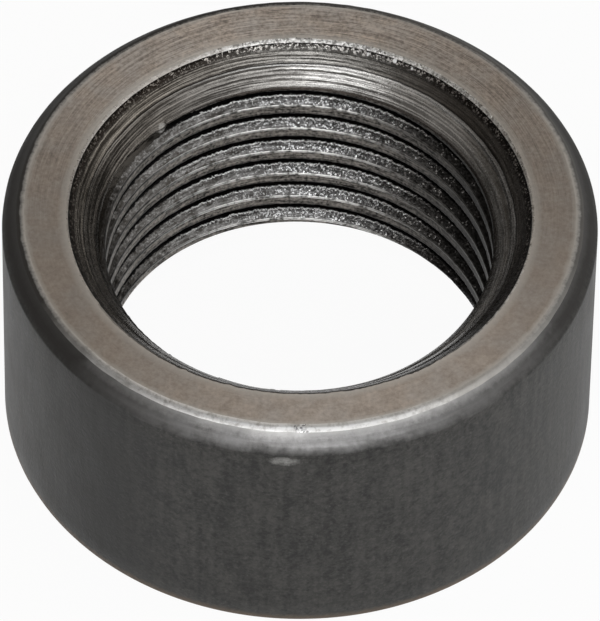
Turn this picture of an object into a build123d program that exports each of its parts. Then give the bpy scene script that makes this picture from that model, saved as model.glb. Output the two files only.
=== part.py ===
"""Weld bung for an oxygen sensor: a short turned steel ring with an internal M18 x 1.5 thread.

The ring stands on its base with its axis on Z. The origin is the centre of the base and the units are
millimetres. Both mouths of the bore are countersunk, and the top corner of the outside has a chamfer.
It is made as it would be at the lathe: bar stock is bored and threaded, then turned and faced to its section.
"""

from build123d import *

import os
from math import radians, tan

# Driving dimensions of the thread

thread_diameter = 18.0
thread_pitch = 1.5
thread_flank_angle = 60.0
thread_engagement = 0.862
first_groove_height = 0.435

# Driving dimensions of the ring, with the wall measured from the root of the thread to the outside

height = 12.0
wall_thickness = 3.7
countersink_rise = 0.85
countersink_angle = 82.0
chamfer_width = 0.75
chamfer_height = 0.85
chamfer_corner_radius = 0.15
base_edge_break = 0.1

# The full thread is five eighths of the sharp V. The bore is a little wider than that calls for, so the groove
# is cut to the engagement's share of it.

groove_root_radius = thread_diameter / 2
groove_root_width = thread_pitch / 8
flank_slope = tan(radians(thread_flank_angle / 2))
full_thread_depth = thread_pitch / 2 / flank_slope * 5 / 8
bore_radius = groove_root_radius - full_thread_depth * thread_engagement

# The cutter reaches inside the bore, so that it leaves no skin on the crests

cutter_radius = bore_radius - thread_pitch / 10
cutter_width = groove_root_width + 2 * (groove_root_radius - cutter_radius) * flank_slope

# The stock is larger than the ring all round, and the groove stops inside the part that is turned away

outer_radius = groove_root_radius + wall_thickness
run_in = thread_pitch
groove_start_height = first_groove_height - run_in
stock_allowance = 2 * thread_pitch
stock_radius = outer_radius + stock_allowance

# The countersinks open wider than the thread's root, and their cones run on past the bore

face_radius = outer_radius - chamfer_width
countersink_radius = groove_root_radius + countersink_rise
countersink_slope = tan(radians(countersink_angle / 2))
countersink_tip_radius = cutter_radius
countersink_tip_depth = (countersink_radius - countersink_tip_radius) / countersink_slope


with BuildPart() as weld_bung:
    # Bored bar stock
    with BuildSketch(Plane.XY.offset(-stock_allowance)):
        Circle(stock_radius)
        Circle(bore_radius, mode=Mode.SUBTRACT)
    extrude(amount=height + 2 * stock_allowance)

    # One right-handed V groove from a pitch below the base to a pitch above the top face
    with BuildLine() as groove_path:
        Helix(
            pitch=thread_pitch,
            height=height + 2 * run_in,
            radius=bore_radius,
            center=(0, 0, groove_start_height),
        )
    with BuildSketch(Plane((cutter_radius, 0, groove_start_height), x_dir=(1, 0, 0), z_dir=(0, -1, 0))):
        with BuildLine():
            Polyline(
                (0, -cutter_width / 2),
                (groove_root_radius - cutter_radius, -groove_root_width / 2),
                (groove_root_radius - cutter_radius, groove_root_width / 2),
                (0, cutter_width / 2),
                close=True,
            )
        make_face()
    sweep(path=groove_path.wires()[0], is_frenet=True, mode=Mode.SUBTRACT)

    # Turning to section keeps what lies between the outside and the two countersink cones. The thread runs out
    # through both cones.
    with BuildSketch(Plane.XZ) as turned_section:
        with BuildLine():
            Polyline(
                (countersink_radius, 0),
                (outer_radius - base_edge_break, 0),
                (outer_radius, base_edge_break),
                (outer_radius, height - chamfer_height),
                (face_radius, height),
                (countersink_radius, height),
                (countersink_tip_radius, height - countersink_tip_depth),
                (countersink_tip_radius, countersink_tip_depth),
                close=True,
            )
        make_face()
        chamfer_corners = turned_section.vertices().sort_by_distance((outer_radius, height))[:2]
        fillet(chamfer_corners, radius=chamfer_corner_radius)
    revolve(axis=Axis.Z, mode=Mode.INTERSECT)

weld_bung.part.label = "weld_bung"

os.makedirs("parts", exist_ok=True)
export_step(weld_bung.part, "parts/weld_bung.step")
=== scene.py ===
"""The oxygen sensor weld bung as it looks: a turned steel ring with a threaded bore, on a pale floor.

Sizes in the classes are in millimetres, as on a drawing, and angles are in degrees. Meshes are in metres,
in the frame of the solid ring: the axis of the bore is Z and the base stands on Z = 0. Around the ring, an
angle of 0 is +X and an angle of 90 is +Y, which is the far side in the photograph.
"""

import logging
import math
from dataclasses import dataclass, field
from enum import Enum

import bmesh
import bpy
import numpy as np
from mathutils import Matrix


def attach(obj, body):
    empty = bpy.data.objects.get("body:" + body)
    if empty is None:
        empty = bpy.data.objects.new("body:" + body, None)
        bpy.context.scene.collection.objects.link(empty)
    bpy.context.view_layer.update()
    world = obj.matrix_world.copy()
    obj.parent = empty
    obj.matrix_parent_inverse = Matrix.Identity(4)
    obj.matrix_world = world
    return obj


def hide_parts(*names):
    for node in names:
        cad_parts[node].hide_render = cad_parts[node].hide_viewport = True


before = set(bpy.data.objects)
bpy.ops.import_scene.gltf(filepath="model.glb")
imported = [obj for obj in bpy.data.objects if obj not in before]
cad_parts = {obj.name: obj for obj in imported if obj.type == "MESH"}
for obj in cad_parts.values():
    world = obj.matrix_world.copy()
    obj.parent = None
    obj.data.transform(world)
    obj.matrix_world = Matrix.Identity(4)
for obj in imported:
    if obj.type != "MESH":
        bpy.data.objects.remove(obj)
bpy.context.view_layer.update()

MM = 0.001
WHOLE_TURN = 2.0 * math.pi
RING_HEIGHT = 12.0

log = logging.getLogger("weld_bung")


class Zone(Enum):
    """The surfaces of the ring that each have a finish of their own, in the order of its material slots."""

    FACE = 0
    LIP = 1
    RIM = 2
    OUTSIDE = 3
    BASE = 4
    SINK = 5
    CREST = 6
    FLANK = 7
    EDGE = 8


@dataclass(frozen=True)
class Wander:
    """A smooth random line, for the small errors that a tool leaves along its path.

    It is a sum of cosines whose wavelengths lie between a shortest and a longest length along the path.
    """

    amplitude: float
    shortest: float
    longest: float
    seed: int
    terms: int = 40

    def along(self, angle: np.ndarray, radius: float, closed: bool = True) -> np.ndarray:
        """Gives the offset at each angle of a path round the bore.

        Args:
            angle: Angles in radians, of any shape. On a helix they run on past a whole turn.
            radius: Radius of the path in millimetres.
            closed: Whether the path meets itself after one turn, so that every wave fits it a whole
                number of times.

        Returns:
            Offsets in millimetres, of the shape of angle, with amplitude as their standard deviation.
        """
        chance = np.random.default_rng(self.seed)
        waves = WHOLE_TURN * radius / np.exp(
            chance.uniform(np.log(self.shortest), np.log(self.longest), self.terms)
        )
        if closed:
            waves = np.maximum(1.0, np.round(waves))
        phases = chance.uniform(0.0, WHOLE_TURN, self.terms)
        total = np.zeros_like(angle)
        for wave, phase in zip(waves, phases):
            total += np.cos(angle * wave + phase)
        return total * self.amplitude / math.sqrt(self.terms / 2.0)


@dataclass
class ThreadForm:
    """One turn of the internal thread in section, as rows of points that the helix carries round the bore."""

    pitch: float = 1.5
    crest_radius: float = 8.3
    root_radius: float = 9.0
    flank_angle: float = 60.0
    first_groove_height: float = 0.435
    edge_rounding: float = 0.055
    crest_tear: Wander = field(default_factory=lambda: Wander(0.014, 0.18, 1.2, 11, 60))

    def half_section(self) -> tuple[np.ndarray, np.ndarray, list[Zone]]:
        """Gives the section from the middle of the groove up to the middle of the crest above it.

        The root is flat for a sixteenth of the pitch. The flank leaves it on a straight line to the crest,
        and the crest is flat from there. The edge between them is cut back by edge_rounding on both sides.

        Returns:
            Heights above the middle of the groove, radii, and the zone of the strip above each point.
        """
        slope = math.tan(math.radians(self.flank_angle / 2.0))
        root = self.pitch / 16.0
        edge = root + (self.root_radius - self.crest_radius) * slope
        cut = self.edge_rounding
        flank_share = np.array([0.06, 0.3, 0.6])
        flank_height = root + (edge - root) * flank_share
        flank_radius = self.root_radius + (self.crest_radius - self.root_radius) * flank_share
        heights = np.concatenate(
            [
                [0.0, root],
                flank_height,
                [edge - cut * 0.5, edge + cut * 0.12, edge + cut],
                edge + (self.pitch / 2.0 - edge) * np.array([0.42, 0.7, 1.0]),
            ]
        )
        radii = np.concatenate(
            [
                [self.root_radius, self.root_radius - 0.004],
                flank_radius,
                [self.crest_radius + cut * 0.87, self.crest_radius + cut * 0.2, self.crest_radius],
                np.full(3, self.crest_radius),
            ]
        )
        zones = [Zone.FLANK] * 5 + [Zone.EDGE] * 2 + [Zone.CREST] * 3
        return heights, radii, zones

    def rows(self, low: float, high: float) -> tuple[np.ndarray, np.ndarray, list[Zone], int]:
        """Repeats the section up the bore.

        Args:
            low: Lowest height that the first turn has to reach at the angle where the helix starts.
            high: Highest height that the last turn has to reach.

        Returns:
            Heights and radii of the rows at angle 0, the zone of the strip above each row, and the rows in
            one pitch.
        """
        heights, radii, zones = self.half_section()
        section_heights = np.concatenate([-heights[:0:-1], heights[:-1]])
        section_radii = np.concatenate([radii[:0:-1], radii[:-1]])
        section_zones = zones[::-1] + [Zone.CREST if zone is Zone.EDGE else zone for zone in zones]
        first = math.floor((low - self.first_groove_height - self.pitch / 2.0) / self.pitch)
        last = math.ceil((high - self.first_groove_height - self.pitch / 2.0) / self.pitch)
        turns = np.arange(first, last + 1)
        grooves = self.first_groove_height + turns * self.pitch
        all_heights = (grooves[:, None] + section_heights[None, :]).ravel()
        all_radii = np.tile(section_radii, len(turns))
        return all_heights, all_radii, section_zones * len(turns), len(section_heights)


@dataclass
class WeldRing:
    """The ring: one turned piece with its outside, its two countersinks and the thread in its bore."""

    outer_radius: float = 12.7
    height: float = RING_HEIGHT
    chamfer_width: float = 0.75
    chamfer_height: float = 0.85
    rim_rounding: float = 0.45
    shoulder_rounding: float = 0.16
    foot_break: float = 0.1
    rim_wander_reach: tuple = (0.3, 0.4)
    sink_radius: float = 9.91
    sink_angle: float = 83.0
    sink_offset: float = 0.15
    sink_step_depth: float = 0.755
    sink_step: float = 0.03
    lip_width: float = 0.16
    lip_fall: float = 0.08
    lip_edge: float = 0.015
    lip_clear: float = 10.45
    columns: int = 480
    thread: ThreadForm = field(default_factory=ThreadForm)
    rim_wander: Wander = field(default_factory=lambda: Wander(0.012, 0.8, 18.0, 3))
    lip_wander: Wander = field(default_factory=lambda: Wander(0.013, 0.2, 4.0, 5, 60))
    side_wander: Wander = field(default_factory=lambda: Wander(0.003, 3.0, 30.0, 7))
    burr_angle: float = 135.5
    burr_height: float = 10.36
    burr_half_width: float = 0.23
    burr_half_height: float = 0.24

    @property
    def angles(self) -> np.ndarray:
        """The angle of each column of points, in radians."""
        return np.arange(self.columns) * WHOLE_TURN / self.columns

    @property
    def burr_place(self) -> tuple[float, float]:
        """Where the burr lies on the crests' circle, in x and y."""
        turn = math.radians(self.burr_angle)
        return self.thread.crest_radius * math.cos(turn), self.thread.crest_radius * math.sin(turn)

    def sink_wall(self, depth: np.ndarray, angle: np.ndarray) -> np.ndarray:
        """Gives the radius of a countersink's cone from the axis of the ring.

        The cone narrows by its slope from the mouth. Its centre is sink_offset nearer to the viewer than
        the axis, so the distance to it is the far root of the circle's equation at each angle.

        Args:
            depth: Depth below the mouth.
            angle: Angles in radians, which broadcast against depth.

        Returns:
            Radii in millimetres.
        """
        slope = math.tan(math.radians(self.sink_angle / 2.0))
        step = self.sink_step * np.clip((depth - self.sink_step_depth) / self.sink_step, 0.0, 1.0)
        circle = self.sink_radius - depth * slope - step
        beside = self.sink_offset * np.cos(angle)
        return np.sqrt(np.maximum(circle**2 - beside**2, 0.0)) - self.sink_offset * np.sin(angle)

    def sink_edge_depth(self, angle: np.ndarray) -> np.ndarray:
        """Gives the depth at which the countersink's cone meets the crests of the thread, at each angle."""
        slope = math.tan(math.radians(self.sink_angle / 2.0))
        beyond = self.thread.crest_radius + self.sink_offset * np.sin(angle)
        circle = np.hypot(beyond, self.sink_offset * np.cos(angle))
        return (self.sink_radius - self.sink_step - circle) / slope

    def lip_rows(self) -> tuple[np.ndarray, np.ndarray]:
        """Gives the rubbed lip from the end face to the countersink's wall, at every column.

        Going inwards the lip falls a little faster than in proportion, as the distance to the power of one
        and a quarter. It falls by lip_fall over lip_width at the far side, and by a quarter of that over
        half the width at the near side. The lip then turns down into the wall over lip_edge.

        Returns:
            Radii and depths below the face of shape (rows, columns), from the face inwards.
        """
        across = np.array([0.0, 0.1, 0.4, 0.7, 1.0])[:, None]
        angle = self.angles[None, :]
        share = np.clip(0.35 + 0.9 * np.sin(angle), 0.25, 1.0)
        fall = self.lip_fall * share
        inner = self.sink_wall(fall, angle)
        radii = inner + self.lip_width * np.sqrt(share) * (1.0 - across)
        radii = radii + self.lip_wander.along(angle, self.sink_radius)
        bottom = fall + self.lip_edge
        depths = np.concatenate([fall * across**1.25, bottom])
        return np.concatenate([radii, self.sink_wall(bottom, angle)]), depths

    def outside_rows(self) -> tuple[np.ndarray, np.ndarray, list[Zone]]:
        """Gives the outside of the ring from the upper lip, over the face and the side, to the lower lip.

        The face is level. The rim is an arc of rim_rounding that touches the face and the chamfer, and the
        shoulder is a smaller arc between the chamfer and the side.

        Returns:
            Radii and heights of shape (rows, columns), and the zone of the strip after each row.
        """
        lip_radii, lip_depths = self.lip_rows()
        one = np.ones(self.columns)
        upper_lip = (lip_radii[::-1], self.height - lip_depths[::-1])
        lower_lip = (lip_radii, lip_depths)
        chamfer_turn = math.atan2(self.chamfer_height, self.chamfer_width)
        shoulder_turn = math.pi / 2.0 - chamfer_turn
        face_radius = self.outer_radius - self.chamfer_width
        rim_steps = np.linspace(0.0, chamfer_turn, 6)
        rim_reach = self.rim_rounding * math.tan(chamfer_turn / 2.0)
        rim_radii = face_radius - rim_reach + self.rim_rounding * np.sin(rim_steps)
        rim_heights = self.height - self.rim_rounding * (1.0 - np.cos(rim_steps))
        shoulder_steps = np.linspace(chamfer_turn, math.pi / 2.0, 4)
        shoulder_reach = self.shoulder_rounding * math.tan(shoulder_turn / 2.0)
        shoulder_height = self.height - self.chamfer_height - shoulder_reach
        shoulder_radii = self.outer_radius - self.shoulder_rounding * (1.0 - np.sin(shoulder_steps))
        shoulder_heights = shoulder_height + self.shoulder_rounding * np.cos(shoulder_steps)
        side_heights = np.linspace(shoulder_height, self.foot_break, 12)[1:-1]
        foot = self.foot_break
        profile_radii = np.concatenate(
            [
                np.linspace(self.lip_clear, face_radius - rim_reach - 0.15, 3),
                rim_radii,
                np.linspace(rim_radii[-1], shoulder_radii[0], 5)[1:-1],
                shoulder_radii,
                np.full(len(side_heights), self.outer_radius),
                self.outer_radius - foot * np.array([0.0, 0.35, 1.0, 5.0]),
                [self.lip_clear],
            ]
        )
        profile_heights = np.concatenate(
            [
                np.full(3, self.height),
                rim_heights,
                np.linspace(rim_heights[-1], shoulder_heights[0], 5)[1:-1],
                shoulder_heights,
                side_heights,
                [foot, foot * 0.35, 0.0, 0.0, 0.0],
            ]
        )
        zones = (
            [Zone.LIP] * (len(lip_depths) - 1)
            + [Zone.FACE] * 4
            + [Zone.RIM] * (len(rim_radii) - 1)
            + [Zone.OUTSIDE] * (4 + len(shoulder_radii) - 1 + len(side_heights) + 1 + 2)
            + [Zone.BASE] * 3
            + [Zone.LIP] * (len(lip_depths) - 1)
        )
        radii = profile_radii[:, None] * one
        heights = profile_heights[:, None] * one
        reach_in, reach_down = self.rim_wander_reach
        from_rim = ((profile_radii - face_radius) / reach_in) ** 2
        near_rim = np.exp(-from_rim - ((profile_heights - self.height) / reach_down) ** 2)
        radii += near_rim[:, None] * self.rim_wander.along(self.angles, face_radius)[None, :]
        on_side = (np.abs(profile_radii - self.outer_radius) < 0.02)[:, None]
        hollow = np.abs(self.side_wander.along(self.angles, self.outer_radius))[None, :]
        radii -= on_side * hollow
        radii = np.concatenate([upper_lip[0], radii, lower_lip[0]])
        heights = np.concatenate([upper_lip[1], heights, lower_lip[1]])
        return np.minimum(radii, self.outer_radius), np.clip(heights, 0.0, self.height), zones

    def bore_rows(self) -> tuple[np.ndarray, np.ndarray, np.ndarray, int]:
        """Gives the wall of the bore: at each point the widest of the thread and the two countersinks.

        Each row of the thread's section rises by one pitch in a turn, so a row's height is its height at
        angle 0 plus the pitch times the share of a turn. Rows that leave the bore are held at its mouths.
        The burr is a flap of steel pushed over the groove: near its place the radius is drawn in to the
        crests by a share that falls off as the exponential of minus the fourth power of the distance.

        Returns:
            Radii and heights of shape (rows, columns), zone numbers of the strips above the rows, and the
            rows in one pitch.
        """
        _, lip_depths = self.lip_rows()
        low, high = lip_depths[-1:], self.height - lip_depths[-1:]
        thread = self.thread
        row_heights, row_radii, row_zones, per_pitch = thread.rows(low.min(), high.max())
        angle = self.angles[None, :]
        share = angle / WHOLE_TURN
        turn_number = np.floor((row_heights - thread.first_groove_height) / thread.pitch + 0.5)[:, None]
        tear = thread.crest_tear.along(angle - WHOLE_TURN * turn_number, thread.crest_radius, closed=False)
        near_edge = np.exp(-(((row_radii - thread.crest_radius - 0.02) / 0.03) ** 2))[:, None]
        inner_crest = (np.arange(len(row_radii)) % per_pitch)[:, None]
        side = np.sign(row_heights[:, None] - thread.first_groove_height - turn_number * thread.pitch)
        middle = (inner_crest == 0) | (inner_crest == 1) | (inner_crest == per_pitch - 1)
        heights = row_heights[:, None] + thread.pitch * share + tear * near_edge * side * ~middle
        heights = np.clip(heights, low, high)
        for edge in (self.height - self.sink_edge_depth(angle), self.sink_edge_depth(angle)):
            nearest = np.abs(heights - edge).argmin(axis=0)
            heights[nearest, np.arange(self.columns)] = edge[0]
        upper = self.sink_wall(self.height - heights, angle)
        lower = self.sink_wall(heights, angle)
        cut = row_radii[:, None] * np.ones_like(angle)
        radii = np.maximum(cut, np.maximum(upper, lower))
        from_burr = (angle - math.radians(self.burr_angle)) * thread.crest_radius
        beside_burr = from_burr / self.burr_half_width
        above_burr = (heights - self.burr_height) / self.burr_half_height
        burr = np.exp(-(beside_burr**4) - (above_burr + 0.25 * beside_burr) ** 4)
        radii += burr * (np.minimum(radii, thread.crest_radius + 0.03) - radii)
        row_numbers = np.array([zone.value for zone in row_zones])[:, None]
        zones = row_numbers * np.ones((1, self.columns), dtype=int)
        from_top = 2.0 * self.height - heights[1:] - heights[:-1]
        middles = np.minimum(heights[1:] + heights[:-1], from_top) / 2.0
        wall = self.sink_wall(middles, angle)
        on_sink = (wall > (cut[1:] + cut[:-1]) / 2.0) | (wall > thread.root_radius - 0.42)
        on_burr = (burr[:-1] > 0.3) & (burr[1:] > 0.3)
        zones[:-1] = np.where(on_sink | on_burr, Zone.SINK.value, zones[:-1])
        return radii, heights, zones, per_pitch

    def points(self, radii: np.ndarray, heights: np.ndarray) -> np.ndarray:
        """Turns radii and heights at every column into points: x is r cos a, y is r sin a."""
        angle = self.angles[None, :]
        stacked = np.stack([radii * np.cos(angle), radii * np.sin(angle), heights], axis=-1)
        return stacked.reshape(-1, 3) * MM

    def quads(self, rows: int, shift: int, start: int) -> tuple[np.ndarray, np.ndarray]:
        """Joins a grid of rows and columns into quads, closing it after the last column.

        The rows follow the wall with the steel on their left, so the quads face outward.

        Args:
            rows: Rows of the grid.
            shift: Rows that the last column is joined to further up in the first column, for a helix.
            start: Number of the grid's first point.

        Returns:
            Point numbers of shape (quads, 4) and the row and column of each quad as (quads, 2).
        """
        row, column = np.meshgrid(np.arange(rows - 1), np.arange(self.columns), indexing="ij")
        onward = (column + 1) % self.columns
        lift = np.where(onward == 0, shift, 0)
        inside = row + lift + 1 < rows
        row, column, onward, lift = row[inside], column[inside], onward[inside], lift[inside]
        near = start + row * self.columns + column
        far = start + (row + lift) * self.columns + onward
        corners = np.stack([near, near + self.columns, far + self.columns, far], axis=-1)
        return corners, np.stack([row, column], axis=-1)

    def build(self) -> bpy.types.Object:
        """Builds the closed mesh of the ring.

        Returns:
            The ring, at the origin, with the number of each face's zone as its material index.
        """
        out_radii, out_heights, out_zones = self.outside_rows()
        bore_radii, bore_heights, bore_zones, per_pitch = self.bore_rows()
        out_points = self.points(out_radii, out_heights)
        bore_points = self.points(bore_radii, bore_heights)
        out_quads, out_place = self.quads(len(out_radii), 0, 0)
        bore_quads, bore_place = self.quads(len(bore_radii), per_pitch, len(out_points))
        zone_numbers = np.array([zone.value for zone in out_zones])
        zones = np.concatenate(
            [zone_numbers[out_place[:, 0]], bore_zones[bore_place[:, 0], bore_place[:, 1]]]
        )
        mesh = bpy.data.meshes.new("ring_of_weld_bung")
        points = np.concatenate([out_points, bore_points])
        mesh.from_pydata(points, [], np.concatenate([out_quads, bore_quads]))
        mesh.polygons.foreach_set("material_index", zones.astype(np.int32))
        mesh.polygons.foreach_set("use_smooth", np.ones(len(mesh.polygons), dtype=bool))
        work = bmesh.new()
        work.from_mesh(mesh)
        bmesh.ops.remove_doubles(work, verts=work.verts[:], dist=0.0004 * MM)
        bmesh.ops.dissolve_degenerate(work, edges=work.edges[:], dist=0.0002 * MM)
        open_edges = sum(1 for edge in work.edges if not edge.is_manifold)
        volume = work.calc_volume(signed=True)
        work.to_mesh(mesh)
        work.free()
        ring = bpy.data.objects.new("weld_bung_ring", mesh)
        bpy.context.scene.collection.objects.link(ring)
        triangles = sum(len(face.vertices) - 2 for face in mesh.polygons)
        size = volume / MM**3
        log.info("ring: %d triangles, %d open edges, %.0f cubic mm", triangles, open_edges, size)
        return ring


class Pattern:
    """A material under construction: each method adds a node and gives back its output."""

    def __init__(self, name: str) -> None:
        """Starts an empty material with its surface output."""
        self.material = bpy.data.materials.new(name)
        self.material.use_nodes = True
        self.nodes = self.material.node_tree.nodes
        self.links = self.material.node_tree.links
        self.nodes.clear()
        self.output = self.nodes.new("ShaderNodeOutputMaterial")
        place = self.nodes.new("ShaderNodeTexCoord")
        scaled = self.nodes.new("ShaderNodeVectorMath")
        scaled.operation = "SCALE"
        scaled.inputs["Scale"].default_value = 1.0 / MM
        self.links.new(place.outputs["Object"], scaled.inputs[0])
        self.place = scaled.outputs[0]
        split = self.nodes.new("ShaderNodeSeparateXYZ")
        self.links.new(self.place, split.inputs[0])
        self.x, self.y, self.z = split.outputs
        self.depth = self.math("MINIMUM", self.z, self.minus(RING_HEIGHT, self.z))
        self.radius = self.math("SQRT", self.plus(self.squared(self.x), self.squared(self.y)))

    def put(self, value: object, socket: bpy.types.NodeSocket) -> None:
        """Links an output to a socket, or sets the socket to a number or colour.

        Args:
            value: The output, number or colour.
            socket: The socket that takes it.
        """
        if isinstance(value, bpy.types.NodeSocket):
            self.links.new(value, socket)
        elif isinstance(value, tuple) and len(value) == 3 and socket.type == "RGBA":
            socket.default_value = (*value, 1.0)
        else:
            socket.default_value = value

    def math(
        self, operation: str, first: object, second: object = 0.0, third: object = 0.0
    ) -> bpy.types.NodeSocket:
        """Adds a sum on numbers.

        Args:
            operation: Name of the sum, as Blender has it.
            first: First number, or the output that holds it.
            second: Second number, where the sum has one.
            third: Third number, where the sum has one.

        Returns:
            The result.
        """
        node = self.nodes.new("ShaderNodeMath")
        node.operation = operation
        for value, socket in zip((first, second, third), node.inputs):
            self.put(value, socket)
        return node.outputs[0]

    def plus(self, first: object, second: object) -> bpy.types.NodeSocket:
        """Adds two numbers."""
        return self.math("ADD", first, second)

    def minus(self, first: object, second: object) -> bpy.types.NodeSocket:
        """Takes the second number from the first."""
        return self.math("SUBTRACT", first, second)

    def times(self, first: object, second: object) -> bpy.types.NodeSocket:
        """Multiplies two numbers."""
        return self.math("MULTIPLY", first, second)

    def times_plus(self, first: object, second: object, third: object) -> bpy.types.NodeSocket:
        """Multiplies two numbers and adds a third."""
        return self.math("MULTIPLY_ADD", first, second, third)

    def larger(self, first: object, second: object) -> bpy.types.NodeSocket:
        """Gives the larger of two numbers."""
        return self.math("MAXIMUM", first, second)

    def unsigned(self, value: object) -> bpy.types.NodeSocket:
        """Gives a number without its sign."""
        return self.math("ABSOLUTE", value)

    def squared(self, value: object) -> bpy.types.NodeSocket:
        """Multiplies a number by itself."""
        return self.times(value, value)

    def round_the_axis(self, along: float, across: float, level: object = None) -> bpy.types.NodeSocket:
        """Gives a place for noise that is drawn out round the axis when along is small.

        Args:
            along: Scale of the direction from the axis, which is the place's first two numbers.
            across: Scale of the third number, which is the level.
            level: The level, or nothing for the radius.

        Returns:
            The place.
        """
        node = self.nodes.new("ShaderNodeCombineXYZ")
        self.put(self.times(self.math("DIVIDE", self.x, self.radius), along), node.inputs[0])
        self.put(self.times(self.math("DIVIDE", self.y, self.radius), along), node.inputs[1])
        self.put(self.times(self.radius if level is None else level, across), node.inputs[2])
        return node.outputs[0]

    def distance(self, x: float, y: float) -> bpy.types.NodeSocket:
        """Gives the level distance in millimetres from an upright line at x and y."""
        beside = self.squared(self.minus(self.x, x))
        beyond = self.squared(self.minus(self.y, y))
        return self.math("SQRT", self.plus(beside, beyond))

    def stretched(self, x: float, y: float, z: float) -> bpy.types.NodeSocket:
        """Gives the place in millimetres, multiplied along each of the three axes by a number."""
        node = self.nodes.new("ShaderNodeMapping")
        node.inputs["Scale"].default_value = (x, y, z)
        self.links.new(self.place, node.inputs["Vector"])
        return node.outputs[0]

    def noise(
        self,
        place: object,
        scale: float,
        detail: float = 2.0,
        roughness: float = 0.5,
        distortion: float = 0.0,
    ) -> bpy.types.NodeSocket:
        """Adds a cloudy noise.

        Args:
            place: Where the noise is read.
            scale: Clouds in a unit of the place.
            detail: Number of finer noises on top of it.
            roughness: Strength of each finer noise against the one before.
            distortion: How far the noise bends its own place.

        Returns:
            A value from 0 to 1.
        """
        node = self.nodes.new("ShaderNodeTexNoise")
        self.put(place, node.inputs["Vector"])
        node.inputs["Scale"].default_value = scale
        node.inputs["Detail"].default_value = detail
        node.inputs["Roughness"].default_value = roughness
        node.inputs["Distortion"].default_value = distortion
        return node.outputs[0]

    def cells(self, place: object, scale: float) -> bpy.types.NodeSocket:
        """Splits space into grains and gives each of them a chance number from 0 to 1.

        Args:
            place: Where the pattern is read.
            scale: Grains in a unit of the place.

        Returns:
            The chance number.
        """
        node = self.nodes.new("ShaderNodeTexVoronoi")
        self.put(place, node.inputs["Vector"])
        node.inputs["Scale"].default_value = scale
        split = self.nodes.new("ShaderNodeSeparateColor")
        self.put(node.outputs["Color"], split.inputs[0])
        return split.outputs[0]

    def along_thread(self, pitch: float, first_height: float) -> bpy.types.NodeSocket:
        """Gives the place in the thread's section: 0 in mid-groove and a half in mid-crest.

        It is the height less the helix's rise to that angle, in pitches, with the whole turns left out.

        Args:
            pitch: Pitch of the thread.
            first_height: Height of the middle of a groove at angle 0.

        Returns:
            A value from 0 to 1.
        """
        share = self.math("DIVIDE", self.math("ARCTAN2", self.y, self.x), WHOLE_TURN)
        turns = self.math("DIVIDE", self.minus(self.z, first_height), pitch)
        return self.math("FRACT", self.plus(self.minus(turns, share), 20.0))

    def band(self, value: object, low: float, high: float, soft: float) -> bpy.types.NodeSocket:
        """Gives 1 where a value lies in a band, and 0 elsewhere.

        Args:
            value: The value.
            low: Lower edge of the band.
            high: Upper edge of the band.
            soft: Half the width over which an edge fades.

        Returns:
            A share from 0 to 1.
        """
        rising = self.spread(value, low - soft, low + soft)
        falling = self.spread(value, high - soft, high + soft, 1.0, 0.0)
        return self.times(rising, falling)

    def total(self, *parts: tuple) -> bpy.types.NodeSocket:
        """Adds up values.

        Args:
            parts: Each value with the weight that it is multiplied by.

        Returns:
            The sum.
        """
        result = self.times(parts[0][0], parts[0][1])
        for value, weight in parts[1:]:
            result = self.times_plus(value, weight, result)
        return result

    def spread(
        self, value: object, low: float, high: float, to_low: float = 0.0, to_high: float = 1.0
    ) -> bpy.types.NodeSocket:
        """Maps a value from one range to another in proportion, and holds it in the second.

        Args:
            value: The value.
            low: Start of the first range.
            high: End of the first range.
            to_low: Start of the second range.
            to_high: End of the second range.

        Returns:
            The mapped value.
        """
        node = self.nodes.new("ShaderNodeMapRange")
        node.clamp = True
        self.put(value, node.inputs["Value"])
        node.inputs["From Min"].default_value = low
        node.inputs["From Max"].default_value = high
        node.inputs["To Min"].default_value = to_low
        node.inputs["To Max"].default_value = to_high
        return node.outputs["Result"]

    def blend(self, share: object, first: object, second: object, way: str = "MIX") -> bpy.types.NodeSocket:
        """Mixes two colours.

        Args:
            share: Share of the second colour, from 0 to 1.
            first: Colour under it.
            second: Colour laid over it.
            way: Name of the way of mixing, as Blender has it.

        Returns:
            The mixed colour.
        """
        node = self.nodes.new("ShaderNodeMix")
        node.data_type = "RGBA"
        node.blend_type = way
        self.put(share, node.inputs["Factor"])
        self.put(first, node.inputs[6])
        self.put(second, node.inputs[7])
        return node.outputs[2]

    def relief(self, height: object, depth: float, under: object = None) -> bpy.types.NodeSocket:
        """Adds fine relief.

        Args:
            height: Height pattern from 0 to 1.
            depth: Depth of the relief in millimetres.
            under: Relief that it lies on, if any.

        Returns:
            The relief, as a normal.
        """
        node = self.nodes.new("ShaderNodeBump")
        node.inputs["Distance"].default_value = depth * MM
        node.inputs["Strength"].default_value = 1.0
        self.put(height, node.inputs["Height"])
        if under is not None:
            self.put(under, node.inputs["Normal"])
        return node.outputs[0]

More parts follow.
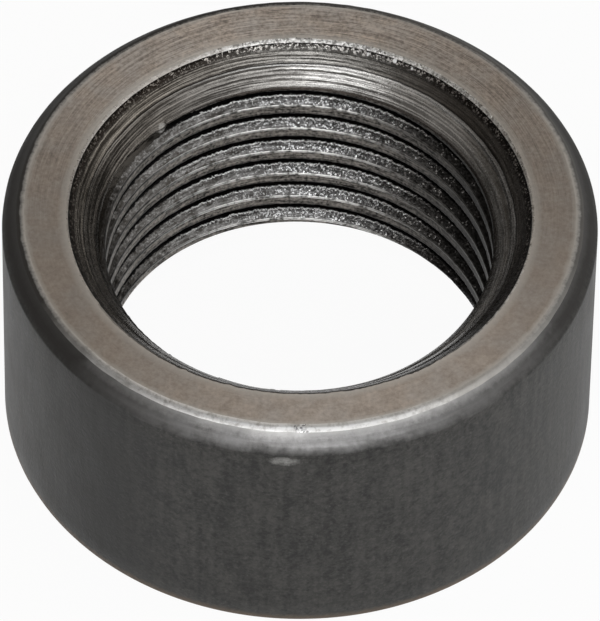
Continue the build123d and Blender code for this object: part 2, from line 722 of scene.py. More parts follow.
    def surface(
        self,
        colour: object,
        roughness: object,
        relief: object,
        metallic: object = 1.0,
        anisotropy: float = 0.0,
        ior: float = 1.5,
    ) -> bpy.types.Material:
        """Closes the material with its shader.

        Args:
            colour: Colour of the surface.
            roughness: Roughness from 0 to 1.
            relief: Relief, or nothing.
            metallic: Share of bare metal from 0 to 1.
            anisotropy: Strength of a sheen drawn out round the axis, as turning leaves it.
            ior: Index of refraction of what isn't bare metal.

        Returns:
            The finished material.
        """
        shader = self.nodes.new("ShaderNodeBsdfPrincipled")
        self.put(colour, shader.inputs["Base Color"])
        self.put(roughness, shader.inputs["Roughness"])
        self.put(metallic, shader.inputs["Metallic"])
        shader.inputs["IOR"].default_value = ior
        if relief is not None:
            self.put(relief, shader.inputs["Normal"])
        if anisotropy:
            shader.inputs["Anisotropic"].default_value = anisotropy
            tangent = self.nodes.new("ShaderNodeTangent")
            tangent.direction_type = "RADIAL"
            tangent.axis = "Z"
            shader.inputs["Anisotropic Rotation"].default_value = 0.25
            self.links.new(tangent.outputs[0], shader.inputs["Tangent"])
        self.links.new(shader.outputs[0], self.output.inputs["Surface"])
        return self.material


@dataclass(frozen=True)
class FacedSteel:
    """The end face as faced at the lathe: warm dull steel with fine tool marks, clearest at the back."""

    sink_offset: float
    lip_radius: float
    rim_radius: float
    light: tuple = (0.67, 0.583, 0.508)
    cool: tuple = (0.61, 0.562, 0.519)
    dark: tuple = (0.235, 0.206, 0.182)
    rubbed: tuple = (0.60, 0.585, 0.555)

    def material(self) -> bpy.types.Material:
        """Builds the finish.

        Both borders of the face are a little brighter than its middle, and shade is painted in toward the
        left and right.

        Returns:
            The finished material.
        """
        pattern = Pattern("faced_steel")
        fine = pattern.noise(pattern.round_the_axis(6.0, 14.0), 1.0, 4.0, 0.7)
        mottle = pattern.noise(pattern.place, 1.6, 4.0, 0.7)
        hue = pattern.noise(pattern.place, 0.8, 2.0, 0.5)
        grit = pattern.noise(pattern.place, 5.5, 2.0, 0.65)
        clear = pattern.spread(pattern.y, -2.0, 9.0, 0.25, 2.7)
        marks = pattern.times(pattern.minus(pattern.total((fine, 0.75), (grit, 0.25)), 0.5), clear)
        shade = pattern.total((marks, 1.0), (mottle, 0.62), (grit, 0.43), (hue, 0.15))
        warm = pattern.blend(pattern.spread(hue, 0.38, 0.62), self.light, self.cool)
        colour = pattern.blend(pattern.spread(shade, 0.22, 0.90), self.dark, warm)
        # Painted shade: the face is darkened toward the left and right sides.
        beside = pattern.spread(pattern.unsigned(pattern.x), 4.0, 9.5, 0.0, 0.36)
        colour = pattern.blend(beside, colour, self.dark)
        from_lip = pattern.times_plus(mottle, 0.3, pattern.distance(0.0, -self.sink_offset))
        inner = pattern.spread(from_lip, self.lip_radius + 0.10, self.lip_radius + 0.42, 1.0, 0.0)
        from_rim = pattern.times_plus(mottle, 0.2, pattern.radius)
        outer = pattern.spread(from_rim, self.rim_radius - 0.10, self.rim_radius + 0.12)
        colour = pattern.blend(pattern.times(pattern.larger(inner, outer), 0.6), colour, self.rubbed)
        relief = pattern.relief(pattern.times(fine, clear), 0.010, pattern.relief(grit, 0.004))
        return pattern.surface(
            colour, pattern.spread(mottle, 0.3, 0.7, 0.42, 0.50), relief, metallic=0.85, anisotropy=0.75
        )


@dataclass(frozen=True)
class LipSteel:
    """The lip between the face and the countersink: lumpy steel rubbed bright, with shade painted in at the
    front.
    """

    bright: tuple = (1.0, 0.99, 0.97)
    hollow: tuple = (0.40, 0.39, 0.37)
    plain: tuple = (0.52, 0.49, 0.455)
    painted_shade: tuple = (0.045, 0.042, 0.038)

    def material(self) -> bpy.types.Material:
        """Builds the finish.

        At the far side duller hollows lie between bright lumps, and the rest is plainer.

        Returns:
            The finished material.
        """
        pattern = Pattern("rubbed_lip_steel")
        lumps = pattern.noise(pattern.place, 4.6, 3.0, 0.7, 0.4)
        grit = pattern.noise(pattern.place, 9.0, 1.0, 0.5)
        lumpy = pattern.spread(pattern.total((lumps, 0.75), (grit, 0.25)), 0.43, 0.53)
        shown = pattern.band(pattern.x, -3.8, 9.0, 1.6)
        colour = pattern.blend(shown, self.plain, pattern.blend(lumpy, self.hollow, self.bright))
        # Painted shade: the lip is darkened in front, where it turns away into the bore.
        near = pattern.spread(pattern.y, -8.5, -4.5, 0.92, 0.0)
        colour = pattern.blend(near, colour, self.painted_shade)
        return pattern.surface(
            colour, pattern.spread(grit, 0.3, 0.7, 0.26, 0.38), pattern.relief(lumps, 0.05)
        )


@dataclass(frozen=True)
class RimSteel:
    """The rounded outer rim: rubbed, with a painted highlight in front and one small bruise, and painted
    shade behind.
    """

    height: float
    bright: tuple = (0.92, 0.92, 0.915)
    dull: tuple = (0.52, 0.505, 0.48)
    worn: tuple = (0.42, 0.405, 0.385)
    back_shade_tone: tuple = (0.014, 0.012, 0.010)
    bruise_dark: tuple = (0.35, 0.35, 0.35)
    bruise_bright: tuple = (1.0, 1.0, 1.0)
    bruise_place: tuple = (0.2, -11.98)
    bruise_radius: float = 0.32

    def material(self) -> bpy.types.Material:
        """Builds the finish.

        The bruise is a ring of small facets, some bright and some dark.

        Returns:
            The finished material.
        """
        pattern = Pattern("rubbed_rim_steel")
        clouds = pattern.noise(pattern.stretched(1.0, 1.0, 0.6), 0.8, 3.0, 0.6)
        wear = pattern.noise(pattern.place, 2.0, 3.0, 0.6)
        nicks = pattern.noise(pattern.place, 6.0, 2.0, 0.6)
        # Rubbed wear and painted highlight: the rim's colour is made brighter in front, where the lamps'
        # highlight lies.
        front = pattern.spread(
            pattern.total((pattern.y, 1.0), (clouds, 2.0), (pattern.x, 0.15)), -11.0, -7.5, 1.0, 0.0
        )
        colour = pattern.blend(front, self.dull, self.bright)
        worn = pattern.spread(pattern.total((wear, 0.6), (nicks, 0.4)), 0.36, 0.52, 1.0, 0.0)
        colour = pattern.blend(pattern.times(worn, 0.7), colour, self.worn)
        facets = pattern.cells(pattern.place, 11.0)
        away = pattern.times_plus(facets, 0.16, pattern.distance(*self.bruise_place))
        bruise = pattern.spread(away, self.bruise_radius, self.bruise_radius + 0.04, 1.0, 0.0)
        bruised = pattern.blend(pattern.spread(facets, 0.22, 0.34), self.bruise_dark, self.bruise_bright)
        colour = pattern.blend(bruise, colour, bruised)
        # Painted shade: below the face, the back half of the rim is darkened and made less metallic, so that
        # it shows no reflection there.
        reach = pattern.total((pattern.y, 1.0), (clouds, 3.0), (pattern.x, -0.10))
        back_shade = pattern.times(
            pattern.spread(reach, -9.0, -2.5), pattern.spread(pattern.x, -2.0, 8.0, 0.95, 0.78)
        )
        over = pattern.spread(pattern.y, 5.0, 10.0, 0.0, 0.04)
        level = pattern.total((nicks, 0.05), (wear, 0.04), (pattern.z, 1.0), (over, -1.0))
        back_shade = pattern.times(
            back_shade, pattern.spread(level, self.height - 0.01, self.height + 0.04, 1.0, 0.0)
        )
        colour = pattern.blend(back_shade, colour, self.back_shade_tone)
        relief = pattern.relief(nicks, 0.006, pattern.relief(pattern.times(facets, bruise), 0.05))
        roughness = pattern.times_plus(back_shade, 0.35, pattern.spread(nicks, 0.3, 0.7, 0.38, 0.48))
        return pattern.surface(colour, roughness, relief, metallic=pattern.minus(1.0, back_shade), ior=1.28)


@dataclass(frozen=True)
class RubbedSteel:
    """The edges between the flanks and the crests of the thread, which the sensor's thread rubs bright."""

    bright: tuple = (0.82, 0.81, 0.79)
    dull: tuple = (0.12, 0.117, 0.11)
    painted_shade: tuple = (0.075, 0.073, 0.07)

    def material(self) -> bpy.types.Material:
        """Builds the finish.

        It is brightest at the middle of the far side, with shade painted in toward the left and right.

        Returns:
            The finished material.
        """
        pattern = Pattern("rubbed_thread_steel")
        worn = pattern.noise(pattern.place, 2.4, 3.0, 0.65)
        colour = pattern.blend(pattern.spread(worn, 0.36, 0.52), self.dull, self.bright)
        # Painted shade: the edges are darkened toward the left and right of the bore.
        aside = pattern.spread(pattern.unsigned(pattern.plus(pattern.x, 0.8)), 2.5, 6.0, 0.0, 0.9)
        colour = pattern.blend(aside, colour, self.painted_shade)
        return pattern.surface(colour, 0.32, pattern.relief(worn, 0.02))


@dataclass(frozen=True)
class OutsideSteel:
    """The outside: a turned chamfer of cool bare metal, and below it dark mill scale with one small rub, with
    shade painted in at the sides and behind.
    """

    shoulder_height: float
    chamfer_light: tuple = (0.38, 0.378, 0.38)
    chamfer_dark: tuple = (0.15, 0.147, 0.144)
    chamfer_worn: tuple = (0.59, 0.586, 0.58)
    light: tuple = (0.066, 0.064, 0.060)
    dark: tuple = (0.014, 0.014, 0.013)
    speck: tuple = (0.15, 0.146, 0.14)
    foot: tuple = (0.17, 0.124, 0.085)
    rub: tuple = (0.40, 0.40, 0.385)
    back_shade_tone: tuple = (0.014, 0.012, 0.010)
    rub_place: tuple = (-0.45, 10.66)
    rub_half_size: tuple = (0.72, 0.3)

    def material(self) -> bpy.types.Material:
        """Builds the finish.

        Metal gives way to scale along a slightly wandering line.

        Returns:
            The finished material.
        """
        pattern = Pattern("outside_steel")
        clouds = pattern.noise(pattern.stretched(1.0, 1.0, 0.6), 0.8, 3.0, 0.6)
        mottle = pattern.noise(pattern.place, 3.2, 4.0, 0.7)
        grit = pattern.noise(pattern.place, 7.0, 2.0, 0.65)
        marks = pattern.noise(pattern.round_the_axis(6.0, 9.0), 1.0, 2.0, 0.6)
        upright = pattern.noise(pattern.stretched(3.2, 3.2, 0.3), 1.0, 2.0, 0.5)
        shade = pattern.total((clouds, 0.25), (mottle, 0.4), (grit, 0.2), (upright, 0.15))
        scale = pattern.blend(pattern.spread(shade, 0.42, 0.59), self.dark, self.light)
        scale = pattern.blend(pattern.times(pattern.spread(grit, 0.62, 0.74), 0.2), scale, self.speck)
        # Painted shade: the scale is darkened in a band on the left side.
        scale = pattern.blend(
            pattern.times(pattern.band(pattern.x, -10.4, -6.5, 1.4), 0.72), scale, self.dark
        )
        low = pattern.spread(pattern.times_plus(mottle, 0.4, pattern.z), 0.28, 0.62, 1.0, 0.0)
        scale = pattern.blend(pattern.times(low, 0.85), scale, self.foot)
        beside = pattern.math("DIVIDE", pattern.minus(pattern.x, self.rub_place[0]), self.rub_half_size[0])
        above = pattern.math("DIVIDE", pattern.minus(pattern.z, self.rub_place[1]), self.rub_half_size[1])
        away = pattern.plus(pattern.squared(beside), pattern.squared(above))
        front = pattern.math("LESS_THAN", pattern.y, 0.0)
        ragged = pattern.total((away, 1.0), (mottle, 2.4), (grit, 0.8))
        rubbed = pattern.times(front, pattern.spread(ragged, 1.4, 2.6, 1.0, 0.0))
        scale = pattern.blend(pattern.times(rubbed, 0.8), scale, self.rub)
        tooled = pattern.spread(pattern.total((marks, 0.25), (clouds, 0.45), (mottle, 0.30)), 0.36, 0.62)
        turned = pattern.blend(tooled, self.chamfer_dark, self.chamfer_light)
        # Painted shade: the chamfer is darkened toward the left and right sides.
        aside = pattern.spread(pattern.unsigned(pattern.x), 3.5, 7.0, 0.0, 0.55)
        turned = pattern.blend(aside, turned, self.chamfer_dark)
        shoulder = self.shoulder_height
        level = pattern.total((pattern.z, 1.0), (clouds, 0.35), (mottle, 0.06))
        upper = pattern.spread(level, shoulder + 0.08, shoulder + 0.48)
        worn_level = pattern.total((pattern.z, 1.0), (mottle, 0.3))
        edge = pattern.spread(worn_level, shoulder + 0.55, shoulder + 0.88, 0.0, 0.8)
        turned = pattern.blend(edge, turned, self.chamfer_worn)
        # Painted shade: the chamfer's back half is darkened and made less metallic, so that it shows no
        # reflection there.
        reach = pattern.total((pattern.y, 1.0), (clouds, 3.0), (pattern.x, -0.12))
        back_shade = pattern.times(
            pattern.spread(reach, -10.9, -5.2), pattern.spread(pattern.x, -2.0, 8.0, 0.93, 0.84)
        )
        colour = pattern.blend(upper, scale, pattern.blend(back_shade, turned, self.back_shade_tone))
        bare = pattern.times(upper, pattern.minus(1.0, back_shade))
        dull = pattern.spread(pattern.total((clouds, 0.5), (mottle, 0.5)), 0.35, 0.65, 0.44, 0.58)
        roughness = pattern.total((dull, 1.0), (bare, -0.12), (pattern.times(upper, back_shade), 0.32))
        rough = pattern.times(grit, pattern.spread(upper, 0.0, 1.0, 1.0, 0.25))
        relief = pattern.relief(rough, 0.016, pattern.relief(mottle, 0.012))
        return pattern.surface(colour, roughness, relief, metallic=bare, ior=1.34)


@dataclass(frozen=True)
class BaseSteel:
    """The hidden base: plainly faced, with faint rings."""

    light: tuple = (0.42, 0.37, 0.33)
    dark: tuple = (0.26, 0.23, 0.20)

    def material(self) -> bpy.types.Material:
        """Builds the finish.

        Returns:
            The finished material.
        """
        pattern = Pattern("base_steel")
        fine = pattern.noise(pattern.round_the_axis(8.0, 9.0), 1.0, 3.0, 0.6)
        clouds = pattern.noise(pattern.place, 1.0, 3.0, 0.6)
        colour = pattern.blend(
            pattern.spread(pattern.total((fine, 0.5), (clouds, 0.5)), 0.36, 0.64), self.dark, self.light
        )
        return pattern.surface(
            colour,
            pattern.spread(clouds, 0.3, 0.7, 0.42, 0.52),
            pattern.relief(fine, 0.010),
            anisotropy=0.5,
        )


@dataclass(frozen=True)
class CountersunkSteel:
    """The countersink's wall: a torn dark band under the lip, rings below it, a step, and brighter rings."""

    step_depth: float
    burr_place: tuple
    torn_depth: float = 0.33
    light: tuple = (0.60, 0.585, 0.565)
    dull: tuple = (0.09, 0.085, 0.079)
    polished: tuple = (0.92, 0.91, 0.895)
    upper_light: tuple = (0.42, 0.408, 0.387)
    upper_dull: tuple = (0.060, 0.056, 0.051)
    fleck: tuple = (1.0, 0.98, 0.95)
    torn: tuple = (0.050, 0.043, 0.039)
    torn_light: tuple = (0.13, 0.124, 0.116)
    left_shade_tone: tuple = (0.31, 0.282, 0.25)
    upper_left_shade_tone: tuple = (0.76, 0.70, 0.63)
    shade_tone: tuple = (0.20, 0.176, 0.16)
    dirt_and_shade: tuple = (0.010, 0.009, 0.008)
    step_highlight: tuple = (0.85, 0.85, 0.84)
    root: tuple = (0.060, 0.050, 0.043)
    burr: tuple = (0.30, 0.29, 0.275)
    glint_white: tuple = (1.0, 1.0, 1.0)
    glint_spots: tuple = (
        (2.817, 9.157, 0.07),
        (3.978, 8.770, 0.10),
        (4.713, 8.364, 0.06),
        (3.30, 7.89, 0.035),
        (3.90, 7.55, 0.03),
    )

    def material(self) -> bpy.types.Material:
        """Builds the finish.

        Going down, the bands lie at rising depths below the nearer end face.

        Returns:
            The finished material.
        """
        pattern = Pattern("countersunk_steel")
        wobble = pattern.noise(pattern.round_the_axis(12.0, 0.0), 1.0, 3.0, 0.6)
        depth = pattern.times_plus(pattern.minus(wobble, 0.5), 0.05, pattern.depth)
        rings = pattern.noise(pattern.round_the_axis(1.3, 17.0, depth), 1.0, 2.0, 0.6)
        broken = pattern.noise(pattern.round_the_axis(9.0, 14.0, pattern.depth), 1.0, 2.0, 0.6)
        lumps = pattern.noise(pattern.stretched(1.0, 1.0, 1.2), 8.0, 3.0, 0.7, 0.2)
        grit = pattern.noise(pattern.place, 8.0, 2.0, 0.6)
        clean = pattern.spread(depth, self.step_depth - 0.01, self.step_depth + 0.02)
        ringed = pattern.spread(pattern.total((rings, 0.74), (broken, 0.18), (grit, 0.08)), 0.43, 0.57)
        calm = pattern.spread(pattern.x, 2.0, 6.5, 0.0, 0.5)
        ringed = pattern.times_plus(calm, pattern.minus(0.5, ringed), ringed)
        upper = pattern.blend(ringed, self.upper_dull, self.upper_light)
        polished_share = pattern.band(pattern.x, 0.5, 5.5, 1.5)
        lower = pattern.blend(ringed, self.dull, pattern.blend(polished_share, self.light, self.polished))
        # Painted shade: the torn band's colour darkens from its light middle toward the left and right.
        aside = pattern.spread(pattern.unsigned(pattern.minus(pattern.x, 1.0)), 2.0, 6.0)
        bed = pattern.blend(aside, self.torn_light, self.torn)
        flecked = pattern.spread(pattern.times_plus(aside, -0.03, lumps), 0.515, 0.56)
        flecked = pattern.times(flecked, pattern.spread(pattern.x, -8.0, -3.0, 0.3, 1.0))
        torn = pattern.blend(flecked, bed, self.fleck)
        ragged = pattern.times_plus(pattern.minus(lumps, 0.5), 0.35, depth)
        tearing = pattern.spread(ragged, self.torn_depth - 0.05, self.torn_depth + 0.05, 1.0, 0.0)
        colour = pattern.blend(tearing, pattern.blend(clean, upper, lower), torn)
        # Painted shade, with dirt: a black line in the crease at the step and another just under the lip.
        groove = pattern.band(depth, self.step_depth - 0.014, self.step_depth + 0.030, 0.01)
        under_lip = pattern.spread(pattern.times_plus(grit, 0.08, ragged), 0.18, 0.21, 1.0, 0.0)
        dirt_and_shade_share = pattern.larger(pattern.times(groove, 0.92), pattern.times(under_lip, 0.8))
        colour = pattern.blend(dirt_and_shade_share, colour, self.dirt_and_shade)
        # Painted highlight: a light line just below the step, on the left.
        left = pattern.spread(pattern.x, -1.5, 2.0, 1.0, 0.0)
        below_step = pattern.band(depth, self.step_depth + 0.035, self.step_depth + 0.06, 0.012)
        colour = pattern.blend(pattern.times(pattern.times(below_step, left), 0.8), colour, self.step_highlight)
        # Painted shade: the cone darkens toward its lower edge, where it rolls over into the crests.
        over_edge = pattern.spread(pattern.radius, 8.33, 8.48, 0.92, 0.0)
        colour = pattern.blend(over_edge, colour, self.root)
        # Painted shade: the wall is darkened toward the right and in front.
        reach = pattern.times_plus(clean, -6.0, pattern.times_plus(wobble, 2.0, pattern.x))
        painted_shade = pattern.spread(reach, 2.0, 7.5, 0.0, 0.87)
        near = pattern.spread(pattern.y, -8.6, -6.5, 0.75, 0.0)
        colour = pattern.blend(pattern.larger(painted_shade, near), colour, self.shade_tone, "MULTIPLY")
        # Painted shade: the wall is darkened toward the left, more below the step than above it.
        left_shaded = pattern.spread(pattern.times_plus(broken, 2.0, pattern.x), -5.5, 0.5, 0.88, 0.0)
        colour = pattern.blend(
            left_shaded, colour, pattern.blend(clean, self.upper_left_shade_tone, self.left_shade_tone), "MULTIPLY"
        )
        from_burr = pattern.times_plus(grit, 0.08, pattern.distance(*self.burr_place))
        on_burr = pattern.spread(from_burr, 0.24, 0.29, 1.0, 0.0)
        on_burr = pattern.times(on_burr, pattern.spread(lumps, 0.36, 0.50, 0.35, 1.0))
        colour = pattern.blend(on_burr, colour, self.burr)
        # Painted glints: small white spots at listed places on the wall.
        for x, y, radius in self.glint_spots:
            from_glint_spot = pattern.times_plus(grit, 0.06, pattern.distance(x, y))
            glint_spot = pattern.spread(from_glint_spot, radius, radius + 0.03, 1.0, 0.0)
            colour = pattern.blend(glint_spot, colour, self.glint_white)
        relief = pattern.relief(pattern.total((rings, 0.6), (broken, 0.4)), 0.05)
        relief = pattern.relief(pattern.times(tearing, lumps), 0.06, relief)
        roughness = pattern.times_plus(tearing, 0.08, pattern.spread(grit, 0.3, 0.7, 0.22, 0.30))
        return pattern.surface(colour, roughness, relief, anisotropy=0.35)


@dataclass(frozen=True)
class TornSteel:
    """A flank of the thread, torn by the tap into grains and streaks, with its root black from dirt and
    painted shade.
    """

    light: tuple = (0.36, 0.357, 0.355)
    dark: tuple = (0.050, 0.048, 0.046)
    bright: tuple = (1.0, 1.0, 1.0)
    dirt_and_shade: tuple = (0.006, 0.006, 0.006)
    left_shade_tone: tuple = (0.065, 0.059, 0.052)
    root_from: float = 8.745
    creep: float = 0.0022

    def material(self) -> bpy.types.Material:
        """Builds the finish: streaks on the left, bright and dark grains on the right, a jagged border with a
        painted highlight.

        The black of the root, dirt and painted shade, reaches further up the flank at the left and right
        than front and back. In the first groove at the left, which opens into the countersink, a dim brown
        shade takes the black's place.

        Returns:
            The finished material.
        """
        pattern = Pattern("thread_flank_steel")
        grains = pattern.noise(pattern.place, 9.5, 2.0, 0.7)
        facets = pattern.cells(pattern.place, 15.0)
        streaks = pattern.noise(pattern.round_the_axis(13.0, 14.0, pattern.z), 1.0, 2.0, 0.6)
        coarse = pattern.noise(pattern.place, 2.2, 3.0, 0.6)
        left = pattern.spread(pattern.x, -3.5, 1.0, 0.85, 0.15)
        right = pattern.minus(1.0, left)
        mixed = pattern.plus(pattern.times(streaks, left), pattern.times(grains, right))
        shade = pattern.total((mixed, 0.75), (coarse, 0.25))
        colour = pattern.blend(pattern.spread(shade, 0.42, 0.60), self.dark, self.light)
        # Painted shade: the flank is darkened toward the right, and less toward the left.
        colour = pattern.blend(pattern.spread(pattern.x, 2.0, 6.5, 0.0, 0.82), colour, self.dirt_and_shade)
        colour = pattern.blend(pattern.spread(pattern.x, -7.5, 1.0, 0.74, 0.0), colour, self.left_shade_tone)
        glint = pattern.total((facets, 0.8), (coarse, 0.4), (pattern.larger(pattern.x, 1.0), -0.027))
        sparkle = pattern.times(pattern.spread(glint, 0.76, 0.88), pattern.times_plus(right, 0.80, 0.01))
        colour = pattern.blend(sparkle, colour, self.bright)
        # Dirt and painted shade: the root is black from a jagged border, which reaches further up the flank
        # at the left and right.
        creep = pattern.spread(pattern.x, -2.0, 2.0, 1.45 * self.creep, self.creep)
        across = pattern.times(pattern.squared(pattern.x), creep)
        teeth = pattern.noise(pattern.round_the_axis(58.0, 0.0), 1.0, 1.0, 0.5)
        inward = pattern.total((pattern.radius, 1.0), (across, 1.0), (grains, 0.08), (teeth, 0.16))
        border = self.root_from + 0.12
        open_middle = pattern.spread(pattern.unsigned(pattern.x), 3.0, 6.0, 0.85, 0.0)
        # Painted highlight: a white jagged band just before the root's black, only near the front and back.
        jagged_highlight = pattern.spread(inward, border - 0.085, border - 0.03)
        colour = pattern.blend(pattern.times(jagged_highlight, open_middle), colour, self.bright)
        far_left = pattern.spread(pattern.x, -6.6, -5.6, 1.0, 0.0)
        run_out = pattern.times(far_left, pattern.spread(pattern.z, 9.5, 9.8))
        dirt_and_shade = pattern.blend(run_out, self.dirt_and_shade, self.left_shade_tone)
        colour = pattern.blend(pattern.spread(inward, border - 0.012, border + 0.012), colour, dirt_and_shade)
        relief = pattern.relief(pattern.times(jagged_highlight, open_middle), 0.030, pattern.relief(mixed, 0.032))
        return pattern.surface(colour, 0.24, relief)


@dataclass(frozen=True)
class DullSteel:
    """The crests of the thread: the wall left by the drill, dull and grey-brown with faint level marks."""

    pitch: float
    first_groove_height: float
    light: tuple = (0.39, 0.362, 0.33)
    dark: tuple = (0.016, 0.0145, 0.0125)
    shade_tone: tuple = (0.012, 0.0115, 0.011)

    def material(self) -> bpy.types.Material:
        """Builds the finish.

        Painted shade darkens each crest towards its lower edge, and darkens the crests to the right.

        Returns:
            The finished material.
        """
        pattern = Pattern("thread_crest_steel")
        marks = pattern.noise(pattern.round_the_axis(6.0, 11.0, pattern.z), 1.0, 3.0, 0.6)
        grit = pattern.noise(pattern.place, 6.5, 3.0, 0.65)
        shade = pattern.total((marks, 0.5), (grit, 0.5))
        colour = pattern.blend(pattern.spread(shade, 0.41, 0.60), self.dark, self.light)
        # Painted shade: dark toward each crest's lower edge, and toward the right side.
        section = pattern.times_plus(grit, 0.06, pattern.along_thread(self.pitch, self.first_groove_height))
        colour = pattern.blend(pattern.spread(section, 0.37, 0.46, 0.85, 0.0), colour, self.shade_tone)
        colour = pattern.blend(pattern.spread(pattern.x, 1.5, 7.5, 0.0, 0.88), colour, self.shade_tone)
        return pattern.surface(colour, 0.50, pattern.relief(grit, 0.03), metallic=0.45, ior=1.14)


def ring_finishes(ring: WeldRing) -> dict[Zone, bpy.types.Material]:
    """Builds the finish of every zone of the ring.

    Args:
        ring: The ring, whose sizes place the borders inside a finish.

    Returns:
        A material for each zone.
    """
    lip_radius = ring.sink_radius + ring.lip_width
    rim_radius = ring.outer_radius - ring.chamfer_width - 0.2
    return {
        Zone.FACE: FacedSteel(ring.sink_offset, lip_radius, rim_radius).material(),
        Zone.LIP: LipSteel().material(),
        Zone.RIM: RimSteel(ring.height).material(),
        Zone.OUTSIDE: OutsideSteel(ring.height - ring.chamfer_height).material(),
        Zone.BASE: BaseSteel().material(),
        Zone.SINK: CountersunkSteel(ring.sink_step_depth, ring.burr_place).material(),
        Zone.CREST: DullSteel(ring.thread.pitch, ring.thread.first_groove_height).material(),
        Zone.FLANK: TornSteel().material(),
        Zone.EDGE: RubbedSteel().material(),
    }


@dataclass(frozen=True)
class Softbox:
    """A square lamp behind a diffuser, aimed at the ring from an azimuth and an elevation."""

    name: str
    azimuth: float
    elevation: float
    distance: float
    width: float
    tall: float
    radiance: float
    colour: tuple = (1.0, 1.0, 1.0)

    def build(self) -> None:
        """Places the lamp. Its power is its radiance times its area times pi."""
        lamp = bpy.data.lights.new(self.name, "AREA")
        lamp.shape = "RECTANGLE"
        lamp.size = self.width
        lamp.size_y = self.tall
        lamp.energy = self.radiance * self.width * self.tall * math.pi
        lamp.color = self.colour
        holder = bpy.data.objects.new(self.name, lamp)
        turn = Matrix.Rotation(math.radians(self.azimuth), 4, "Z")
        tilt = Matrix.Rotation(math.radians(90.0 - self.elevation), 4, "X")
        holder.matrix_world = turn @ tilt @ Matrix.Translation((0.0, 0.0, self.distance))
        bpy.context.scene.collection.objects.link(holder)


@dataclass(frozen=True)
class PaleFloor:
    """The white floor, which is lit by the lamps and keeps the ring's shadow."""

    half_size: float = 3.0
    white: tuple = (0.93, 0.93, 0.93)
    own_light: float = 0.95

    def build(self) -> bpy.types.Object:
        """Builds the floor. To the eye and in reflections it also has a white of its own."""
        half = self.half_size
        corners = np.array([(-half, -half, 0.0), (half, -half, 0.0), (half, half, 0.0), (-half, half, 0.0)])
        mesh = bpy.data.meshes.new("pale_floor")
        mesh.from_pydata(corners, [], [(0, 1, 2, 3)])
        floor = bpy.data.objects.new("pale_floor", mesh)
        bpy.context.scene.collection.objects.link(floor)
        pattern = Pattern("pale_floor")
        node = pattern.nodes.new("ShaderNodeBsdfDiffuse")
        pattern.put(self.white, node.inputs["Color"])
        glow = pattern.nodes.new("ShaderNodeEmission")
        pattern.put((1.0, 1.0, 1.0), glow.inputs["Color"])
        path = pattern.nodes.new("ShaderNodeLightPath")
        seen = pattern.larger(path.outputs["Is Camera Ray"], path.outputs["Is Glossy Ray"])
        seen = pattern.larger(seen, path.outputs["Is Transmission Ray"])
        mix = pattern.nodes.new("ShaderNodeMixShader")
        pattern.put(pattern.times(seen, self.own_light), mix.inputs[0])
        pattern.links.new(node.outputs[0], mix.inputs[1])
        pattern.links.new(glow.outputs[0], mix.inputs[2])
        pattern.links.new(mix.outputs[0], pattern.output.inputs["Surface"])
        mesh.materials.append(pattern.material)
        return floor


@dataclass(frozen=True)
class Room:
    """The room round the floor: a pale backdrop at the horizon, with dim walls and a dim ceiling above."""

    walls: tuple = (0.075, 0.068, 0.060)
    backdrop: tuple = (0.98, 0.98, 0.98)
    backdrop_to: float = 3.0
    walls_from: float = 13.0

    def build(self) -> None:
        """Builds the room as the world. The sine of a direction's elevation places it in the fall-off."""
        world = bpy.data.worlds.new("room")
        world.use_nodes = True
        nodes, links = world.node_tree.nodes, world.node_tree.links
        place = nodes.new("ShaderNodeTexCoord")
        split = nodes.new("ShaderNodeSeparateXYZ")
        links.new(place.outputs["Generated"], split.inputs[0])
        fall = nodes.new("ShaderNodeMapRange")
        links.new(split.outputs[2], fall.inputs["Value"])
        fall.inputs["From Min"].default_value = math.sin(math.radians(self.backdrop_to))
        fall.inputs["From Max"].default_value = math.sin(math.radians(self.walls_from))
        mix = nodes.new("ShaderNodeMix")
        mix.data_type = "RGBA"
        links.new(fall.outputs["Result"], mix.inputs["Factor"])
        mix.inputs[6].default_value = (*self.backdrop, 1.0)
        mix.inputs[7].default_value = (*self.walls, 1.0)
        links.new(mix.outputs[2], nodes["Background"].inputs["Color"])
        bpy.context.scene.world = world


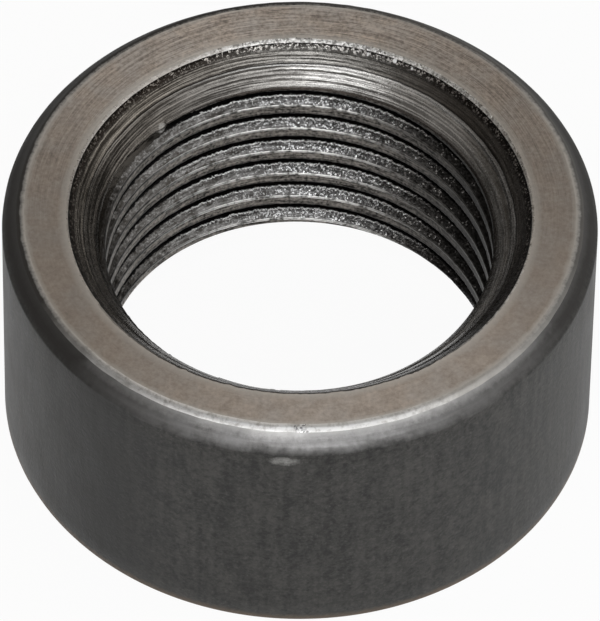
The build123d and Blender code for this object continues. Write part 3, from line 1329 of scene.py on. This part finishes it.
@dataclass(frozen=True)
class PhotographView:
    """The camera of the photograph: a long lens that looks down on the ring from the front."""

    frame_width: int = 600
    frame_height: int = 621
    focal_pixels: float = 10025.7
    distance: float = 431.2
    elevation: float = 49.841
    roll: float = 0.95
    axis_x: float = 298.65
    axis_y: float = 301.85
    aim_height: float = 6.0

    def build(self) -> None:
        """Places the camera so that the middle of the ring falls on the pixel axis_x, axis_y."""
        data = bpy.data.cameras.new("photograph_view")
        longest = max(self.frame_width, self.frame_height)
        data.sensor_fit = "AUTO"
        data.sensor_width = 36.0
        data.lens = self.focal_pixels * data.sensor_width / longest
        data.shift_x = (self.frame_width / 2.0 - self.axis_x) / longest
        data.shift_y = (self.axis_y - self.frame_height / 2.0) / longest
        data.clip_start = 0.05
        data.clip_end = 10.0
        camera = bpy.data.objects.new("photograph_view", data)
        elevation = math.radians(self.elevation)
        away = self.distance * math.cos(elevation)
        above = self.aim_height + self.distance * math.sin(elevation)
        place = Matrix.Translation((0.0, -away * MM, above * MM))
        tilt = Matrix.Rotation(math.pi / 2.0 - elevation, 4, "X")
        camera.matrix_world = place @ tilt @ Matrix.Rotation(math.radians(self.roll), 4, "Z")
        bpy.context.scene.collection.objects.link(camera)
        bpy.context.scene.camera = camera


@dataclass(frozen=True)
class Studio:
    """The floor, the lamps, the room round them and the camera."""

    floor: PaleFloor = PaleFloor()
    room: Room = Room()
    view: PhotographView = PhotographView()
    lamps: tuple = (
        Softbox("front_softbox", 2.0, 35.0, 0.60, 0.62, 0.28, 1.35),
        Softbox("front_lamp", -4.0, 35.0, 0.60, 0.12, 0.22, 1.8),
        Softbox("side_lamp", -35.0, 34.0, 0.60, 0.10, 0.16, 1.5),
        Softbox("overhead_softbox", 6.0, 71.0, 0.60, 0.24, 0.17, 2.3, (0.96, 0.98, 1.0)),
        Softbox("right_softbox", 75.0, 42.0, 0.60, 0.80, 0.60, 0.95),
        Softbox("left_softbox", -64.0, 36.0, 0.60, 0.60, 0.36, 0.32, (1.0, 0.96, 0.92)),
        Softbox("back_softbox", 180.0, 50.0, 0.60, 0.40, 0.62, 0.60, (1.0, 0.95, 0.89)),
    )

    def build(self) -> None:
        """Sets the studio up."""
        self.floor.build()
        self.room.build()
        for lamp in self.lamps:
            lamp.build()
        self.view.build()
        bpy.context.scene.view_settings.view_transform = "Standard"


def dress(ring: bpy.types.Object, shape: WeldRing) -> None:
    """Gives the ring its finishes and puts it in place of the plain solid."""
    finishes = ring_finishes(shape)
    for zone in Zone:
        ring.data.materials.append(finishes[zone])
    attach(ring, "root")
    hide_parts("weld_bung")


def main() -> None:
    """Builds the ring, dresses it and sets up the studio."""
    logging.basicConfig(level=logging.INFO, format="%(name)s: %(message)s", force=True)
    shape = WeldRing()
    ring = shape.build()
    dress(ring, shape)
    log.info("ring: %d finishes", len(ring.data.materials))
    Studio().build()


if __name__ == "__main__":
    main()
